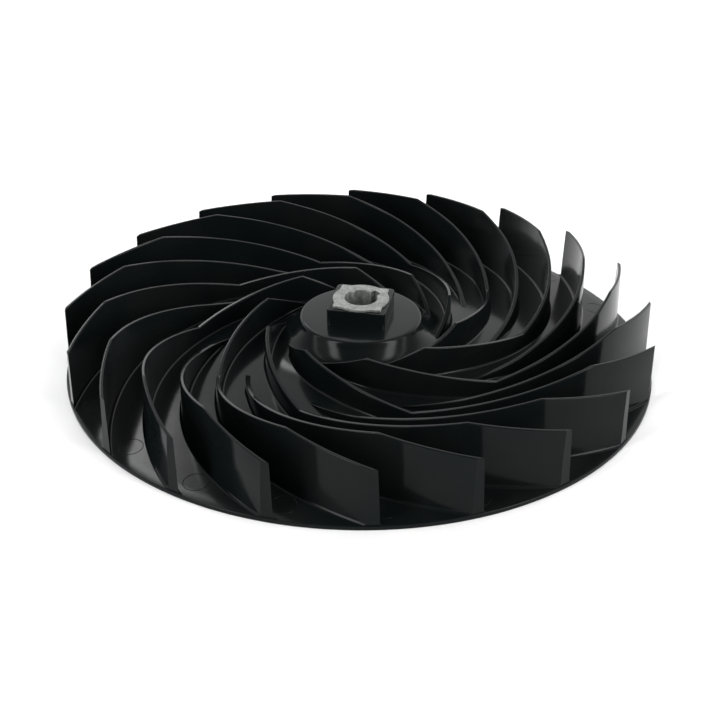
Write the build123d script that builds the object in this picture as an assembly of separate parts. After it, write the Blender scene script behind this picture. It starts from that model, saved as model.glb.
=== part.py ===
"""Open centrifugal fan wheel: one black plastic moulding with long and splitter blades on a
back plate, and the die-cast metal hub insert moulded into its boss.

Millimetres, +Z up. The wheel lies on its back face: z = 0 is the back face, Z is the shaft axis,
and the flats of the boss face X and Y.
"""

from build123d import *
import os
from math import cos, pi, radians, sin

# ---- wheel ----------------------------------------------------------------------------------
RIM_R = 90.0
RIM_T = 1.3  # thickness of the plate at its rim
WALL_T = 1.5  # wall of the coned plate and the hub skirt above the hollow back
PLATE_RISE = 0.108  # the plate is a shallow cone that rises towards the hub
CONE_END_R = 33.0  # hub skirt joins the cone here
DISC_R = 18.5  # flat disc on top of the hub skirt
DISC_Z = 15.9
SKIRT_POINTS = [(20.4, 12.9), (23.2, 10.4), (27.5, 8.5)]  # (radius, height) between them

# ---- blades ---------------------------------------------------------------------------------
BLADE_PAIRS = 10  # one long blade and one splitter blade each
FIRST_TIP_DEG = -76.3  # where the first long blade's mid-line starts on the rim
TIP_ANGLE_DEG = 63.9  # between the blade and the radius, at the rim
# Mid-line of a blade as tangent arcs from the rim inwards, (radius, sweep in degrees).
LONG_ARCS = [(87.7, 24.5), (59.2, 74.4), (37.5, 48.0)]
SPLITTER_ARCS = [(87.7, 24.5), (59.2, 52.0)]
BLADE_FOOT_T = 1.6  # thickness at the rim of the plate
BLADE_DRAFT_DEG = 1.0  # on each side
TIP_R, TIP_Z = 89.6, 18.8  # upper corner of the tip, just inside the rim
CREST_R, CREST_Z = 77.2, 21.95  # the upper edge rises to here
VALLEY_R, VALLEY_Z = 50.0, 10.1  # falls to here
INNER_CREST_R, INNER_CREST_Z = 29.7, 17.1  # long blades rise again, then run down to the skirt
HUB_END_R, HUB_END_Z = 22.0, 9.0
SPLITTER_END_R, SPLITTER_END_Z = 37.0, 5.9  # splitters fall on until they run into the plate

# ---- boss and insert ------------------------------------------------------------------------
BOSS_SIDE = 18.0
BOSS_CORNER_R = 1.4
BOSS_TOP_Z = 20.9
BOSS_FOOT_FILLET = 0.3
DISC_EDGE_FILLET = 1.2
INSERT_R = 8.65  # round body of the insert
INSERT_LUG_SIDE = 14.9  # square whose corners stand out of the round body as lugs
INSERT_LUG_CORNER = 0.6
INSERT_PROUD = 0.65  # insert above the boss
INSERT_BACK_Z = 0.5  # insert and sleeve end just inside the rim plane
GROOVE_R, GROOVE_Z, GROOVE_H = 7.4, 7.0, 3.0  # ring of plastic that keeps the insert in
BORE_R = 5.0
KEY_W, KEY_DEPTH, KEY_DEG = 3.0, 1.4, 45.0
BORE_CHAMFER = 0.4

# ---- hollow back ----------------------------------------------------------------------------
SLEEVE_R = 12.0  # plastic round the insert under the disc
GUSSET_COUNT = 4
GUSSET_T = 1.6
GUSSET_END_R = 36.0
GUSSET_BACK_Z = 1.5


def plate_z(radius):
    """Height of the coned plate's upper side."""
    return RIM_T + PLATE_RISE * (RIM_R - radius)


def skirt_line(drop):
    """Upper line of the hub skirt from the disc to the cone, lowered by drop."""
    points = [(DISC_R, DISC_Z), *SKIRT_POINTS, (CONE_END_R, plate_z(CONE_END_R))]
    return Edge.make_spline(
        [Vector(r, 0, z - drop) for r, z in points],
        tangents=[Vector(0.4, 0, -1), Vector(1, 0, -PLATE_RISE)],
    )


def revolved(edges):
    """Solid of revolution about Z of the closed outline made by edges in the XZ plane."""
    return Solid.revolve(Face(Wire(edges)), 360, Axis.Z)


def polyline(points):
    """Straight edges through (radius, height) points in the XZ plane."""
    return [Edge.make_line((a[0], 0, a[1]), (b[0], 0, b[1])) for a, b in zip(points, points[1:])]


def blade(arcs, outline):
    """One blade with its mid-line starting at angle 0, cut to the room given by outline."""
    half_t = BLADE_FOOT_T / 2
    over = 4.0  # degrees of the first arc that run past the rim, cut back by outline
    angle = TIP_ANGLE_DEG - 90  # direction from an arc's centre to the blade
    point = (RIM_R, 0.0)
    sides = ([], [])
    for i, (radius, sweep) in enumerate(arcs):
        out = radians(angle)
        centre = Plane(origin=(point[0] - radius * cos(out), point[1] - radius * sin(out), 0))
        end = angle - sweep
        point = (centre.origin.X + radius * cos(radians(end)), centre.origin.Y + radius * sin(radians(end)))
        begin = angle + (0 if i else over)
        for side, sign in zip(sides, (1, -1)):
            side.append(Edge.make_circle(radius + sign * half_t, centre, end, begin))
        angle = end
    tip_cap = Edge.make_line(sides[0][0] @ 1, sides[1][0] @ 1)
    end_cap = Edge.make_line(sides[0][-1] @ 0, sides[1][-1] @ 0)
    plan = Face(Wire([*sides[0], *sides[1], tip_cap, end_cap]))
    foot_z = RIM_T / 2
    prism = extrude(plan.moved(Location((0, 0, foot_z))), CREST_Z + 1 - foot_z, taper=BLADE_DRAFT_DEG)
    return prism & outline


def blade_outline(inner_points):
    """Revolved room a blade fills: upper line from the tip inwards, down to inside the plate."""
    low = RIM_T / 2
    points = [(TIP_R, low), (TIP_R, TIP_Z), (CREST_R, CREST_Z), *inner_points]
    points += [(points[-1][0], low), points[0]]
    return revolved(polyline(points))


long_outline = blade_outline(
    [(VALLEY_R, VALLEY_Z), (INNER_CREST_R, INNER_CREST_Z), (HUB_END_R, HUB_END_Z)]
)
splitter_outline = blade_outline([(VALLEY_R, VALLEY_Z), (SPLITTER_END_R, SPLITTER_END_Z)])
long_blade = blade(LONG_ARCS, long_outline)
splitter = blade(SPLITTER_ARCS, splitter_outline)

# ---- hub_insert: round bush with four corner lugs, keyed bore --------------------------------
insert_top_z = BOSS_TOP_Z + INSERT_PROUD
insert_h = insert_top_z - INSERT_BACK_Z
body = Pos(0, 0, INSERT_BACK_Z) * extrude(
    Circle(INSERT_R) + RectangleRounded(INSERT_LUG_SIDE, INSERT_LUG_SIDE, INSERT_LUG_CORNER), insert_h
)
groove = Pos(0, 0, GROOVE_Z) * extrude(Circle(2 * INSERT_R) - Circle(GROOVE_R), GROOVE_H)
insert_room = body - groove
bore = Pos(0, 0, INSERT_BACK_Z) * extrude(Circle(BORE_R), insert_h)
keyway = Rot(0, 0, KEY_DEG) * Pos((BORE_R + KEY_DEPTH) / 2, 0, INSERT_BACK_Z + insert_h / 2) * Box(
    BORE_R + KEY_DEPTH, KEY_W, insert_h
)
hub_insert = insert_room - bore - keyway
mouths = hub_insert.edges().filter_by(GeomType.CIRCLE).filter_by(
    lambda e: abs(e.radius - BORE_R) < 1e-3 and e.length > pi * BORE_R
)
hub_insert = chamfer(mouths, BORE_CHAMFER)

# ---- impeller: plate, skirt, boss, blades in one moulding -------------------------------------
core = revolved(
    [
        *polyline([(0, 0), (0, DISC_Z), (DISC_R, DISC_Z)]),
        skirt_line(0),
        *polyline([(CONE_END_R, plate_z(CONE_END_R)), (RIM_R, RIM_T), (RIM_R, 0), (0, 0)]),
    ]
)
disc_edge = core.edges().filter_by(GeomType.CIRCLE).filter_by(
    lambda e: abs(e.radius - DISC_R) < 1e-3 and abs(e.center().Z - DISC_Z) < 1e-3
)
core = fillet(disc_edge, DISC_EDGE_FILLET)
boss = Pos(0, 0, DISC_Z - 1) * extrude(
    RectangleRounded(BOSS_SIDE, BOSS_SIDE, BOSS_CORNER_R), BOSS_TOP_Z - DISC_Z + 1
)
core = core + boss
boss_foot = core.edges().filter_by(
    lambda e: abs(e.center().Z - DISC_Z) < 1e-3
    and max(abs(v.X) for v in e.vertices()) < BOSS_SIDE / 2 + 0.1
    and max(abs(v.Y) for v in e.vertices()) < BOSS_SIDE / 2 + 0.1
)
core = fillet(boss_foot, BOSS_FOOT_FILLET)

blades = []
for i in range(BLADE_PAIRS):
    turn = FIRST_TIP_DEG + 360 / BLADE_PAIRS * i
    blades += [Rot(0, 0, turn) * long_blade, Rot(0, 0, turn - 180 / BLADE_PAIRS) * splitter]
impeller = core + blades

hollow_top_z = DISC_Z - WALL_T
cone_end = (CONE_END_R, plate_z(CONE_END_R) - WALL_T)
hollow_end = (RIM_R - (WALL_T - RIM_T) / PLATE_RISE, 0)  # where the wall's lower side meets z = 0
hollow = revolved(
    [
        *polyline([(SLEEVE_R, -1), (SLEEVE_R, hollow_top_z), (DISC_R, hollow_top_z)]),
        skirt_line(WALL_T),
        *polyline([cone_end, hollow_end, (hollow_end[0], -1), (SLEEVE_R, -1)]),
    ]
)
hollow = hollow + Pos(0, 0, INSERT_BACK_Z - 2) * extrude(Circle(SLEEVE_R + 1), 2)
for i in range(GUSSET_COUNT):
    turn = 360 / GUSSET_COUNT * (i + 0.5)
    length = GUSSET_END_R - INSERT_R
    gusset = Rot(0, 0, turn) * Pos(INSERT_R + length / 2, 0, GUSSET_BACK_Z + DISC_Z / 2) * Box(
        length, GUSSET_T, DISC_Z
    )
    hollow = hollow - gusset
impeller = impeller - hollow - insert_room

os.makedirs("parts", exist_ok=True)
for name, shape in (("impeller", impeller), ("hub_insert", hub_insert)):
    solid = shape.solids()[0]
    assert len(shape.solids()) == 1 and solid.is_valid
    solid.label = name
    export_step(solid, f"parts/{name}.step")
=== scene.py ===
from math import atan2, cos, pi, radians, sin, tan

import bpy
from mathutils import Euler, Matrix, Vector


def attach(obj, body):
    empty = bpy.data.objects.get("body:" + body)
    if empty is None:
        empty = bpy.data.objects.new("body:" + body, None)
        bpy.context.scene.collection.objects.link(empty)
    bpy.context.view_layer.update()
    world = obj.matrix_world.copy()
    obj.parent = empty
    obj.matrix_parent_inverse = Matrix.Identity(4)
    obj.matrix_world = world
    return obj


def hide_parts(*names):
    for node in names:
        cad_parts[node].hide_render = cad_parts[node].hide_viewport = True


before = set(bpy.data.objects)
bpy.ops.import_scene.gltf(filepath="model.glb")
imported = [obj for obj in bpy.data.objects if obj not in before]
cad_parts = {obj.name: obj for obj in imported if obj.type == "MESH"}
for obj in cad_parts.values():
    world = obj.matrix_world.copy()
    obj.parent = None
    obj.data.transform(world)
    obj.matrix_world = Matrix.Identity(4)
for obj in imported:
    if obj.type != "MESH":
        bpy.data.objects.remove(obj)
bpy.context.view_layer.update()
MM = 0.001  # lengths below are millimetres unless a comment says otherwise

# ==== Black plastic of the wheel ================================================================
# Glass-smooth black nylon out of a polished mould. Fine flow streaks and a breath of dust break the
# gloss, and handling has dulled it here and there.
NYLON_DARK, NYLON_PALE, DUST = (0.0035, 0.005, 0.0053), (0.006, 0.0072, 0.007), (0.09, 0.09, 0.085)
SKIN_DEPTH = 0.12 * MM  # of the finest unevenness of a moulded or cast skin


class Wire:
    """A shader socket that takes part in Python expressions."""

    def __init__(self, tree, socket):
        self.tree, self.socket = tree, socket

    def maths(self, operation, *values):
        return add(self.tree, "ShaderNodeMath", {"operation": operation}, dict(enumerate(values)))

    def __add__(self, other):
        return self.maths("ADD", self, other)

    def __mul__(self, other):
        return self.maths("MULTIPLY", self, other)

    def __rsub__(self, other):
        return self.maths("SUBTRACT", other, self)

    def __pow__(self, other):
        return self.maths("POWER", self, other)

    __radd__ = __add__
    __rmul__ = __mul__


def feed(tree, node, values):
    """Gives a node's sockets, by name or number, their values or links."""
    for key, value in values.items():
        if isinstance(value, Wire):
            tree.links.new(value.socket, node.inputs[key])
        else:
            node.inputs[key].default_value = value


def add(tree, kind, settings=None, values=None, out=0):
    """A node of that kind with its settings, then the values or links of its sockets."""
    node = tree.nodes.new(kind)
    for key, value in (settings or {}).items():
        setattr(node, key, value)
    feed(tree, node, values or {})
    return Wire(tree, node.outputs[out])


def new_material(name):
    """An empty material, its node tree, its Principled shader and its object coordinates."""
    material = bpy.data.materials.new(name)
    material.use_nodes = True
    tree = material.node_tree
    shader = next(node for node in tree.nodes if node.type == "BSDF_PRINCIPLED")
    return material, tree, shader, add(tree, "ShaderNodeTexCoord", out="Object")


def noise(tree, place, scale, detail=3.0, roughness=0.5):
    values = {"Vector": place, "Scale": scale, "Detail": detail, "Roughness": roughness}
    return add(tree, "ShaderNodeTexNoise", {}, values)


def drawn_out(tree, place, pace):
    """Coordinates in which a pattern is drawn out along the shaft, where it keeps that pace."""
    return add(tree, "ShaderNodeMapping", {}, {"Vector": place, "Scale": (1.0, 1.0, pace)})


def spread(tree, value, low, high, to_low=0.0, to_high=1.0):
    """The value's range low..high mapped onto to_low..to_high."""
    values = {"Value": value, "From Min": low, "From Max": high}
    values.update({"To Min": to_low, "To Max": to_high})
    return add(tree, "ShaderNodeMapRange", {"interpolation_type": "SMOOTHSTEP"}, values)


def mix(tree, share, first, second):
    """The first colour going over to the second one as the share goes from 0 to 1."""
    values = {0: share, 6: first if isinstance(first, Wire) else (*first, 1), 7: (*second, 1)}
    return add(tree, "ShaderNodeMix", {"data_type": "RGBA"}, values, 2)


def bump(tree, strength, height):
    values = {"Strength": strength, "Distance": SKIN_DEPTH, "Height": height}
    return add(tree, "ShaderNodeBump", {}, values)


plastic, tree, shader, place = new_material("black_nylon")
clouds = noise(tree, place, 38.0, 4.0, 0.55)
streaks = noise(tree, drawn_out(tree, place, 0.12), 900.0, 2.0)
dust = spread(tree, noise(tree, place, 2600.0, 2.0, 0.7), 0.70, 0.80)
tint = mix(tree, spread(tree, clouds, 0.35, 0.7), NYLON_DARK, NYLON_PALE)
looks = {
    "Base Color": mix(tree, dust * 0.1, tint, DUST),
    "Roughness": 0.07 + clouds * 0.1 + streaks * 0.04 + dust * 0.25,
    "Normal": bump(tree, 0.12, streaks * 0.25 + noise(tree, place, 140.0, 2.0)),
    "IOR": 1.5,
    "Specular IOR Level": 0.1,
}
feed(tree, shader, looks)

# ==== Turned body: plate, hub skirt and disc ======================================================
# The round part of the black moulding: a thin plate coned up to the hub, a flared skirt and the
# flat disc that carries the boss. It is hollow at the back, with a sleeve round the metal insert.
RIM_R, RIM_T, WALL_T = 90.0, 1.3, 1.5
RISE = 0.108  # of the coned plate, for each millimetre inwards
CONE_END_R, DISC_R, DISC_Z = 33.0, 18.5, 15.9
SKIRT = [(DISC_R, DISC_Z), (20.4, 12.9), (23.2, 10.4), (27.5, 8.5), (CONE_END_R, 7.456)]
SKIRT_STEPS = 8  # from one of these stations to the next
FROM_DISC, FROM_DISC_PULL, TO_CONE_PULL = (0.4, -1.0), 4.2, 5.0  # slopes at the skirt's ends
DISC_EDGE, EDGE_TAKES = 1.2, 3  # rounding of the disc's edge, and the skirt points it takes up
PLATE_STATIONS = (40, 48, 56, 64, 72, 80, 86)
RIM_EDGE, RIM_BACK_EDGE = 0.25, 0.2
RIM_BACK_R, COVE_R = 88.3, 88.1  # where the rim's flat back ends and the hollow begins
SLEEVE_R, SLEEVE_TOP_Z, SLEEVE_BACK_Z = 12.0, 14.4, 0.5
SLEEVE_ROOT, SLEEVE_EDGE = 0.8, 0.3
INSERT_R = 8.65
CORE_R, CORE_Z = INSERT_R - 0.2, 14.0  # inner wall, which the room for the insert takes away later
BODY_STEPS = 240
MERGE = 2e-7  # metres; points nearer than this are one
SMOOTH_DEG = 32.0


def cone_z(r):
    return RIM_T + RISE * (RIM_R - r)


def skirt_points():
    """Points of the smooth curve through the skirt's stations, each span a cubic."""
    slopes = [Vector(FROM_DISC).normalized() * FROM_DISC_PULL]
    for before, after in zip(SKIRT, SKIRT[2:]):
        slopes.append((Vector(after) - Vector(before)) / 2)
    slopes.append(Vector((1.0, -RISE)) * TO_CONE_PULL)
    found = []
    for a, b, m0, m1 in zip(SKIRT, SKIRT[1:], slopes, slopes[1:]):
        a, b = Vector(a), Vector(b)
        for i in range(SKIRT_STEPS):
            t = i / SKIRT_STEPS
            h = (2 * t**3 - 3 * t**2 + 1, t**3 - 2 * t**2 + t, -2 * t**3 + 3 * t**2, t**3 - t**2)
            found.append(tuple(h[0] * a + h[1] * m0 + h[2] * b + h[3] * m1))
    return [*found, SKIRT[-1]]


skirt_curve = skirt_points()


def surface_z(r):
    """Height of the body's upper side at radius r."""
    if r >= CONE_END_R:
        return cone_z(r)
    for (r0, z0), (r1, z1) in zip(skirt_curve, skirt_curve[1:]):
        if r0 <= r <= r1:
            return z0 + (z1 - z0) * (r - r0) / max(r1 - r0, 1e-9)
    return DISC_Z


def softened(corners, steps):
    """The closed outline through (x, y, rounding radius) corners, with arcs at the rounded ones."""
    found = []
    for i, (x, y, radius) in enumerate(corners):
        if radius <= 0:
            found.append((x, y))
            continue
        here = Vector((x, y))
        before = (Vector(corners[i - 1][:2]) - here).normalized()
        after = (Vector(corners[(i + 1) % len(corners)][:2]) - here).normalized()
        half = before.angle(after) / 2
        centre = here + (before + after).normalized() * radius / sin(half)
        start = here + before * radius / tan(half) - centre
        sweep = start.angle_signed(here + after * radius / tan(half) - centre)
        for k in range(steps + 1):
            turn = -sweep * k / steps
            x_on_arc = centre.x + start.x * cos(turn) - start.y * sin(turn)
            y_on_arc = centre.y + start.x * sin(turn) + start.y * cos(turn)
            found.append((x_on_arc, y_on_arc))
    return found


def push(way):
    """Extrudes what is selected by a way in metres."""
    bpy.ops.mesh.extrude_region_move(TRANSFORM_OT_translate={"value": way})


def draw_outline(name, points, fill=True):
    """A new object in edit mode: one closed line from point to point, with or without a face."""
    bpy.ops.object.select_all(action="DESELECT")
    bpy.ops.mesh.primitive_plane_add(size=MM, location=Vector(points[0]) * MM)
    bpy.context.object.name = name
    bpy.ops.object.mode_set(mode="EDIT")
    bpy.ops.mesh.merge(type="CENTER")
    for a, b in zip(points, [*points[1:], points[0]]):
        push((Vector(b) - Vector(a)) * MM)
    bpy.ops.mesh.select_all(action="SELECT")
    bpy.ops.mesh.remove_doubles(threshold=MERGE)
    if fill:
        bpy.ops.mesh.edge_face_add()


def finish_piece(smooth_deg=SMOOTH_DEG):
    """Closes seams, points faces outwards, smooths, and puts the object's place in its mesh."""
    bpy.ops.mesh.select_all(action="SELECT")
    bpy.ops.mesh.remove_doubles(threshold=MERGE)
    bpy.ops.mesh.normals_make_consistent(inside=False)
    bpy.ops.object.mode_set(mode="OBJECT")
    bpy.ops.object.transform_apply(location=True, rotation=True, scale=True)
    bpy.ops.object.shade_smooth_by_angle(angle=radians(smooth_deg))
    return bpy.context.object


def turned(name, outline, steps):
    """A body turned from a closed outline of (radius, height) points."""
    draw_outline(name, [(r, 0.0, z) for r, z in outline], fill=False)
    bpy.ops.mesh.spin(steps=steps, angle=2 * pi, center=(0, 0, 0), axis=(0, 0, 1))
    return finish_piece()


disc_corner = [(DISC_R - 3, DISC_Z, 0), (DISC_R, DISC_Z, DISC_EDGE), (*skirt_curve[EDGE_TAKES], 0)]
upper = [*softened(disc_corner, steps=6)[1:-1], *skirt_curve[EDGE_TAKES:]]
upper += [(r, cone_z(r)) for r in PLATE_STATIONS]
plate_end = (PLATE_STATIONS[-1], cone_z(PLATE_STATIONS[-1]), 0)
rim = [plate_end, (RIM_R, RIM_T, RIM_EDGE), (RIM_R, 0, RIM_BACK_EDGE), (RIM_BACK_R, 0, 0)]
lower = [(r, cone_z(r) - WALL_T) for r in (COVE_R, *PLATE_STATIONS[-2::-1])]
lower += [(r, z - WALL_T) for r, z in reversed(skirt_curve)]
sleeve = [(DISC_R, SLEEVE_TOP_Z, 0), (SLEEVE_R, SLEEVE_TOP_Z, SLEEVE_ROOT)]
sleeve += [(SLEEVE_R, SLEEVE_BACK_Z, SLEEVE_EDGE), (CORE_R, SLEEVE_BACK_Z, 0)]
core = [(CORE_R, CORE_Z), (CORE_R, DISC_Z)]
rim, sleeve = softened(rim, steps=4)[1:], softened(sleeve, steps=4)[1:]
body = turned("wheel_body", [*upper, *rim, *lower, *sleeve, *core], BODY_STEPS)

# ==== Blades ====================================================================================
# Ten long and ten splitter blades stand on the plate, swept backwards. Each wall thins upwards for
# release from the mould, has a rounded root and a softened upper edge, and ends on the rim.
PAIRS = 10
PITCH = 360 / PAIRS  # degrees from a long blade to the next
TIP_DEG, TIP_R = -76.3, 89.6
TIP_ANGLE = 63.9  # between blade and radius at the rim
ARCS = [(87.7, 24.5), (59.2, 74.4), (37.5, 48.0)]  # mid-line from the rim inwards: radius, sweep
FOOT_T, DRAFT = 1.6, 1.0  # thickness at the foot, and degrees by which each side leans in
HALF_T = FOOT_T / 2
ROOT_R, ROOT_DEG, ROOT_STEPS = 0.8, 78, 6
TOP_R, TOP_STEPS = 0.26, 5
BURIED = 0.35  # of the foot, in the plate
SECTION_H = 10.0  # of the bar that is bent into a blade
FULL_ROUNDING_H = 2.5  # a wall lower than this has smaller roundings
SINK = 0.4  # depth at which a wall that has run out lies in the plate
STEP = 1.3  # from section to section along a blade
OVERSHOOT = 4.5  # of the blade beyond the rim before it is cut back
LONGEST_WAY = 140.0  # beyond the inner end of any blade
LONG_LINE = [(TIP_R, 18.8), (77.2, 21.95), (50.0, 10.1), (29.7, 17.1), (22.0, 9.0)]
SPLITTER_LINE = [(TIP_R, 18.8), (77.2, 21.95), (50.0, 10.1), (37.0, 5.9)]
LONG_END_R, SPLITTER_END_R = 22.3, 38.0
BLADE_SMOOTH_DEG = 21.0


def along(s):
    """Place on the mid-line a way s in from the rim, and the direction out from its arc."""
    point, angle = Vector((RIM_R, 0.0)), TIP_ANGLE - 90.0
    for i, (radius, sweep) in enumerate(ARCS):
        out = Vector((cos(radians(angle)), sin(radians(angle))))
        centre = point - out * radius
        length = radians(sweep) * radius
        if s <= length or i == len(ARCS) - 1:
            turn = radians(angle) - s / radius
            out = Vector((cos(turn), sin(turn)))
            return centre + out * radius, out
        s -= length
        angle -= sweep
        out = Vector((cos(radians(angle)), sin(radians(angle))))
        point = centre + out * radius


def way_to(radius):
    """Way along the mid-line at which it passes a radius."""
    low, high = -OVERSHOOT, LONGEST_WAY
    for _ in range(50):
        middle = (low + high) / 2
        if along(middle)[0].length > radius:
            low = middle
        else:
            high = middle
    return low


def edge_z(line, r):
    """Height of a blade's upper edge at radius r; the first and last slopes run on."""
    for i, ((r0, z0), (r1, z1)) in enumerate(zip(line, line[1:])):
        if r >= r1 or i == len(line) - 2:
            return z0 + (z1 - z0) * (r0 - r) / (r0 - r1)


def blade_section():
    """Outline of the straight bar across its length, as (across, height) points."""
    side = []
    for k in reversed(range(ROOT_STEPS + 1)):
        t = radians(ROOT_DEG * k / ROOT_STEPS)
        side.append((HALF_T + ROOT_R * (1 - cos(t)), ROOT_R * (1 - sin(t))))
    side = [(side[0][0], -BURIED), *side, (HALF_T, SECTION_H / 2)]
    for k in range(TOP_STEPS + 1):
        t = pi / 2 * k / TOP_STEPS
        side.append((HALF_T - TOP_R * (1 - cos(t)), SECTION_H - TOP_R * (1 - sin(t))))
    return [*side, *[(-n, z) for n, z in reversed(side)]]


def in_blade(line, s, n, h):
    """Place in the blade of a point of the bar: s along it, n across, h up its section."""
    middle, out = along(s)
    top = edge_z(line, middle.length)
    squeeze = min(1.0, max(0.0, (top - surface_z(middle.length)) / FULL_ROUNDING_H))
    sunk = SINK * (1 - squeeze)
    reach = min(abs(n), HALF_T) + max(0.0, abs(n) - HALF_T) * squeeze
    foot = surface_z((middle + out * (reach if n > 0 else -reach)).length)
    if h > SECTION_H / 2:  # the upper edge
        z = top - (SECTION_H - h) * squeeze - sunk / 2
    elif h > ROOT_R + 0.01:  # the middle of the wall
        z = (top + foot) / 2 - sunk
    else:  # the root, and below it what is buried
        z = foot + (h * squeeze if h > 0 else h) - sunk
    lean = tan(radians(DRAFT)) * (z - RIM_T / 2)
    across = (reach - lean) * (1 if n > 0 else -1)
    return (*((middle + out * across) * MM), z * MM)


def blade(name, line, end_r):
    """One blade with its tip at angle 0: drawn as a straight bar, then bent along its mid-line."""
    draw_outline(name, [(-OVERSHOOT, n, z) for n, z in blade_section()])
    ways = [-OVERSHOOT]
    for radius in [*[r for r, _ in line[:-1]], end_r]:
        kink, last = way_to(radius), ways[-1]
        count = max(1, round((kink - last) / STEP))
        ways += [last + (kink - last) * (k + 1) / count for k in range(count)]
    for a, b in zip(ways, ways[1:]):
        push(((b - a) * MM, 0, 0))
    bpy.ops.mesh.select_all(action="SELECT")
    bpy.ops.mesh.normals_make_consistent(inside=False)
    bpy.ops.object.mode_set(mode="OBJECT")
    bpy.ops.object.transform_apply(location=True, rotation=True, scale=True)
    for vertex in bpy.context.object.data.vertices:
        vertex.co = in_blade(line, *(vertex.co / MM))
    bpy.ops.object.mode_set(mode="EDIT")
    bpy.ops.mesh.select_all(action="SELECT")
    cut_at = {"plane_co": (TIP_R * MM, 0, 0), "plane_no": (1, 0, 0)}
    bpy.ops.mesh.bisect(**cut_at, clear_outer=True, use_fill=True)
    return finish_piece(BLADE_SMOOTH_DEG)


def copies(pattern, turns):
    """Copies of a piece turned about the shaft axis, each with its own mesh; the pattern goes."""
    made = []
    for i, turn in enumerate(turns):
        copy = pattern.copy()
        copy.data = pattern.data.copy()
        copy.name = f"{pattern.name}_{i + 1}"
        copy.data.transform(Matrix.Rotation(radians(turn), 4, "Z"))
        bpy.context.collection.objects.link(copy)
        made.append(copy)
    bpy.data.objects.remove(pattern)
    return made


long_turns = [TIP_DEG + PITCH * i for i in range(PAIRS)]
long_blades = copies(blade("long_blade", LONG_LINE, LONG_END_R), long_turns)
splitter_turns = [TIP_DEG + PITCH / 2 + PITCH * i for i in range(PAIRS)]
splitters = copies(blade("splitter", SPLITTER_LINE, SPLITTER_END_R), splitter_turns)

# ==== Boss ======================================================================================
# A square boss in the middle of the disc grips the metal insert. It has rounded corners, a small
# root radius on the disc and a softened upper edge.
BOSS_HALF, BOSS_CORNER, BOSS_TOP_Z = 9.0, 1.4, 20.9
BOSS_ROOT, BOSS_EDGE = 0.08, 0.2
ROOT_FROM_DEG, ROOT_TO_DEG = 8, 90  # part of the root's arc that stands on the disc
BOSS_BURIED = 0.2  # of its foot, in the disc
LUG_HALF, LUG_CORNER = 7.45, 0.6
LUGGED_STEPS = 144
ROOM_BACK_Z, ROOM_TOP_Z = -1.0, 24.0  # of the room cut for the insert, past both ends


def stacked(name, levels, plan):
    """A closed body of (size, height) levels; plan gives the outline of a size."""
    size, z = levels[0]
    draw_outline(name, [(x, y, z) for x, y in plan(size)])
    for next_size, next_z in levels[1:]:
        push((0, 0, (next_z - z) * MM))
        factor = next_size / size
        bpy.ops.transform.resize(value=(factor, factor, 1), center_override=(0, 0, 0))
        size, z = next_size, next_z
    return finish_piece()


def boss_plan(half):
    corners = [(half, half), (half, -half), (-half, -half), (-half, half)]
    return softened([(x, y, BOSS_CORNER) for x, y in corners], steps=6)


def lugged(size):
    """Outline of the round bush with its four lugs, size times the nominal."""
    reach = (LUG_HALF - LUG_CORNER) * 2**0.5 + LUG_CORNER
    points = []
    for i in range(LUGGED_STEPS):
        turn = 2 * pi * i / LUGGED_STEPS
        c, n = abs(cos(turn)), abs(sin(turn))
        lug = min(LUG_HALF / max(c, n), reach / cos(turn % (pi / 2) - pi / 4))
        radius = max(INSERT_R, lug) * size
        points.append((radius * cos(turn), radius * sin(turn)))
    return points


def cut(target, cutters, smooth_deg=SMOOTH_DEG):
    """Takes the cutters' room out of the target, and the cutters away."""
    bpy.ops.object.select_all(action="DESELECT")
    bpy.context.view_layer.objects.active = target
    target.select_set(True)
    for cutter in cutters:
        modifier = target.modifiers.new("cut", "BOOLEAN")
        modifier.object, modifier.solver = cutter, "EXACT"
        bpy.ops.object.modifier_apply(modifier=modifier.name)
        bpy.data.objects.remove(cutter)
    bpy.ops.object.shade_smooth_by_angle(angle=radians(smooth_deg))


boss_levels = [(BOSS_HALF + BOSS_ROOT, DISC_Z - BOSS_BURIED)]
for k in range(4):
    t = radians(ROOT_FROM_DEG + (ROOT_TO_DEG - ROOT_FROM_DEG) * k / 3)
    half = BOSS_HALF + BOSS_ROOT * (1 - sin(t))
    boss_levels.append((half, DISC_Z + BOSS_ROOT * (1 - cos(t))))
for k in range(5):
    t = pi / 2 * k / 4
    half = BOSS_HALF - BOSS_EDGE * (1 - cos(t))
    boss_levels.append((half, BOSS_TOP_Z - BOSS_EDGE * (1 - sin(t))))
boss = stacked("boss", boss_levels, boss_plan)
for part in (boss, body):
    cut(part, [stacked("insert_room", [(1.0, ROOM_BACK_Z), (1.0, ROOM_TOP_Z)], lugged)])

# ==== Ejector marks and gussets =================================================================
# Twenty round witness marks near the rim show where pins pushed the wheel out of its mould. Four
# small gussets behind the disc stiffen the sleeve.
MARK_R, MARK_AT_R, MARK_STEPS = 3.5, 83.7, 48
MARK_DEG = 1.4  # from a blade's tip round to the middle of its mark
MARK_RIDGE = [(-0.17, -0.1), (-0.09, 0.03), (0.0, 0.06), (0.09, 0.03), (0.17, -0.1)]
GUSSET_T = 1.6
GUSSET_IN_R, GUSSET_OUT_R, GUSSET_BACK_Z, GUSSET_TOP_Z = 11.5, 36, 1.5, 15.2
GUSSET_STATIONS = (GUSSET_OUT_R, 33, 30, 27.5, 25, 23.2, 21.8, 20.4, 19.4)
IN_WALL = 0.7  # depth at which a gusset's front edge runs in the skirt's wall

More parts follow.
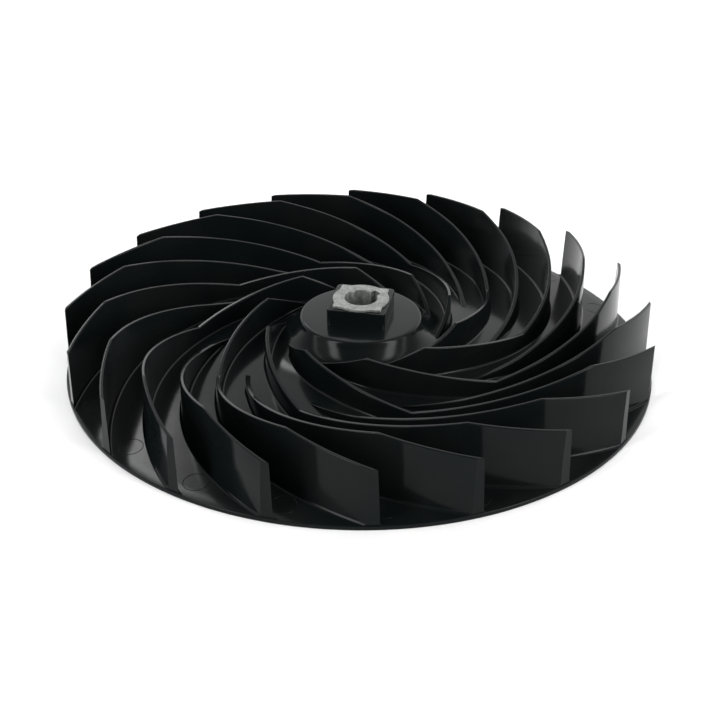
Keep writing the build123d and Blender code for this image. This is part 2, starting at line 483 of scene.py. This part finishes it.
mark = turned("ejector_mark", [(MARK_R + x, z) for x, z in MARK_RIDGE], MARK_STEPS)
mark.data.transform(Matrix.Rotation(atan2(RISE, 1), 4, "Y"))
mark.data.transform(Matrix.Translation(Vector((MARK_AT_R, 0, cone_z(MARK_AT_R))) * MM))
marks = copies(mark, [TIP_DEG + MARK_DEG + PITCH / 2 * i for i in range(2 * PAIRS)])

side = [(GUSSET_IN_R, GUSSET_BACK_Z), (GUSSET_OUT_R, GUSSET_BACK_Z)]
side += [(r, surface_z(r) - IN_WALL) for r in GUSSET_STATIONS]
side += [(DISC_R, GUSSET_TOP_Z), (GUSSET_IN_R, GUSSET_TOP_Z)]
draw_outline("gusset", [(r, -GUSSET_T / 2, z) for r, z in side])
push((0, GUSSET_T * MM, 0))
gussets = copies(finish_piece(), [45, 135, 225, 315])

# ==== One moulding ==============================================================================
# Everything above is one injection moulding in black nylon, so it is one piece. Plate, blades,
# boss, ejector marks and gussets have no seam between them.
bpy.ops.object.select_all(action="DESELECT")
for piece in [body, boss, *long_blades, *splitters, *marks, *gussets]:
    piece.select_set(True)
bpy.context.view_layer.objects.active = body
bpy.ops.object.join()
wheel = bpy.context.object
wheel.name = "moulded_wheel"
wheel.data.materials.clear()
wheel.data.materials.append(plastic)
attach(wheel, "root")
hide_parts("impeller")

# ==== Metal insert ==============================================================================
# A die-cast zinc bush with four lugs at its corners, so that it can't turn in the plastic. Its bore
# has a small keyway. The casting skin is light grey, matt and slightly grainy.
ZINC_DARK, ZINC_PALE = (0.095, 0.107, 0.099), (0.265, 0.273, 0.257)
INSERT_BACK_Z, INSERT_TOP_Z = 0.5, 21.55
BORE_R, BORE_STEPS = 5.0, 72
KEY_HALF, KEY_REACH, KEY_CORNER, KEY_DEG = 1.5, 6.4, 0.25, 45
KEY_BACK_Z, KEY_TOP_Z = 0.0, 22.0  # of the room cut for the key, past both ends
BUSH_SMOOTH_DEG = 30.0

zinc, tree, shader, place = new_material("cast_zinc")
grain = noise(tree, place, 3200.0, 3.0, 0.7)
patches = noise(tree, place, 900.0, 3.0, 0.6)
drawn = noise(tree, drawn_out(tree, place, 0.1), 700.0, 3.0, 0.6)
mottle = patches * 0.3 + grain * 0.4 + drawn * 0.3
looks = {
    "Base Color": mix(tree, spread(tree, mottle, 0.38, 0.62), ZINC_DARK, ZINC_PALE),
    "Roughness": 0.3 + grain * 0.3,
    "Normal": bump(tree, 0.7, grain * 0.5 + patches + drawn),
    "Metallic": 0.6,
}
feed(tree, shader, looks)


def ring(radius):
    turns = [2 * pi * i / BORE_STEPS for i in range(BORE_STEPS)]
    return [(radius * cos(turn), radius * sin(turn)) for turn in turns]


# The bush's broken edges, as shares of its full outline, then the bore with its chamfers.
levels = [(0.985, INSERT_BACK_Z), (1.0, INSERT_BACK_Z + 0.2), (1.0, INSERT_TOP_Z - 0.25)]
levels += [(0.996, INSERT_TOP_Z - 0.1), (0.985, INSERT_TOP_Z)]
bush = stacked("cast_bush", levels, lugged)
mouths = [(BORE_R + 0.5, INSERT_BACK_Z - 0.2), (BORE_R, INSERT_BACK_Z + 0.3)]
mouths += [(BORE_R, INSERT_TOP_Z - 0.3), (BORE_R + 0.08, INSERT_TOP_Z - 0.1)]
mouths += [(BORE_R + 0.25, INSERT_TOP_Z + 0.02), (BORE_R + 0.3, INSERT_TOP_Z + 0.4)]
bore = stacked("bore", mouths, ring)
key_corners = [(1, -KEY_HALF, 0), (1, KEY_HALF, 0)]
key_corners += [(KEY_REACH, KEY_HALF, KEY_CORNER), (KEY_REACH, -KEY_HALF, KEY_CORNER)]
key_plan = softened(key_corners, steps=3)
keyway = stacked("keyway", [(1.0, KEY_BACK_Z), (1.0, KEY_TOP_Z)], lambda size: key_plan)
keyway.data.transform(Matrix.Rotation(radians(KEY_DEG), 4, "Z"))
cut(bush, [bore, keyway], BUSH_SMOOTH_DEG)
bush.data.materials.clear()
bush.data.materials.append(zinc)
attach(bush, "root")
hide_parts("hub_insert")

# ==== Floor, light and camera ===================================================================
# A wide white table, lit from below as well as from the room round it: a dark side behind the
# camera, two tall soft boxes left and right of it, and a pale wall with a small window at the back.
TABLE_SIDE, TABLE_DROP = 8.0, 0.1 * MM  # metres; the drop keeps it clear of the wheel's back
TABLE_WHITE, TABLE_GLOW = 0.75, 0.22
CAMERA_SIDE_DEG = -79.0  # where the camera stands, about the shaft

# Every sector of light: its middle, half width and soft edge in degrees round from the camera's
# side, then its strength, below 0 where the room is darker. The window is cut off in height too.
WALLS = {
    "dark side": (-8, 34, 14, -0.36),
    "back": (180, 60, 30, 1.05),
    "right": (62, 24, 14, 0.4),
    "back right": (132, 16, 10, 0.7),
    "left": (-72, 12, 8, 0.6),
    "back left": (-135, 16, 10, 0.4),
}
SOFT_BOXES = {
    "left": (-53, 7, 3, 8.5),
    "right": (58, 8, 3, 9.0),
    "far left": (-88, 3, 2, 2.5),
    "far right": (84, 3, 2, 2.5),
}
WINDOW, WINDOW_LIGHT = (-159.5, 3.8, 0.8), 9.0

bpy.ops.mesh.primitive_plane_add(size=TABLE_SIDE, location=(0, 0, -TABLE_DROP))
floor = bpy.context.object
floor.name = "table"
card, tree, shader, _ = new_material("white_table")
looks = {
    "Base Color": (TABLE_WHITE, TABLE_WHITE, TABLE_WHITE, 1),
    "Roughness": 0.9,
    "Emission Color": (1.0, 1.0, 1.0, 1),
    "Emission Strength": TABLE_GLOW,
}
feed(tree, shader, looks)
floor.data.materials.append(card)

world = bpy.data.worlds.new("studio")
bpy.context.scene.world = world
world.use_nodes = True
tree = world.node_tree
sky = add(tree, "ShaderNodeTexCoord", out="Generated")
east, north, height = (add(tree, "ShaderNodeSeparateXYZ", {}, {0: sky}, i) for i in range(3))
flat = (1.0001 - height * height) ** -0.5


def panel(turn_deg, half_deg, soft_deg):
    """1 within a sector of the horizon, 0 outside."""
    turn = radians(turn_deg + CAMERA_SIDE_DEG)
    facing = (east * cos(turn) + north * sin(turn)) * flat
    edges = cos(radians(half_deg + soft_deg)), cos(radians(half_deg - soft_deg))
    return spread(tree, facing, *edges)


def lit(light, panels):
    """The light with that of every panel added."""
    for *sector, strength in panels.values():
        light = light + panel(*sector) * strength
    return light


below_ceiling = spread(tree, height, 0.78, 0.92, 1.0, 0.0)
room = lit(0.5, WALLS) * (0.35 + below_ceiling * 0.65)
pane = spread(tree, height, 0.5, 0.56) * spread(tree, height, 0.72, 0.78, 1.0, 0.0)
light = room + lit(0.0, SOFT_BOXES) * below_ceiling + panel(*WINDOW) * pane * WINDOW_LIGHT
backdrop = tree.nodes["Background"]
feed(tree, backdrop, {"Color": (1.0, 1.0, 1.0, 1), "Strength": light})

HEADING, TILT, ROLL = 9.5, 59.983, 1.097  # degrees, of the camera
EYE_AT = (0.07482, -0.38818, 0.2255)  # metres
camera = bpy.data.cameras.new("camera")
camera.lens, camera.sensor_width = 72.75, 36.0
camera.shift_x, camera.shift_y = -0.04375, 0.00986
camera.clip_start, camera.clip_end = 0.01, 20.0
eye = bpy.data.objects.new("camera", camera)
aim = Euler((0, 0, radians(HEADING))).to_matrix() @ Euler((radians(TILT), 0, 0)).to_matrix()
aim = aim @ Euler((0, 0, radians(ROLL))).to_matrix()
eye.matrix_world = Matrix.Translation(EYE_AT) @ aim.to_4x4()
bpy.context.collection.objects.link(eye)
bpy.context.scene.camera = eye
bpy.context.scene.view_settings.view_transform = "Standard"
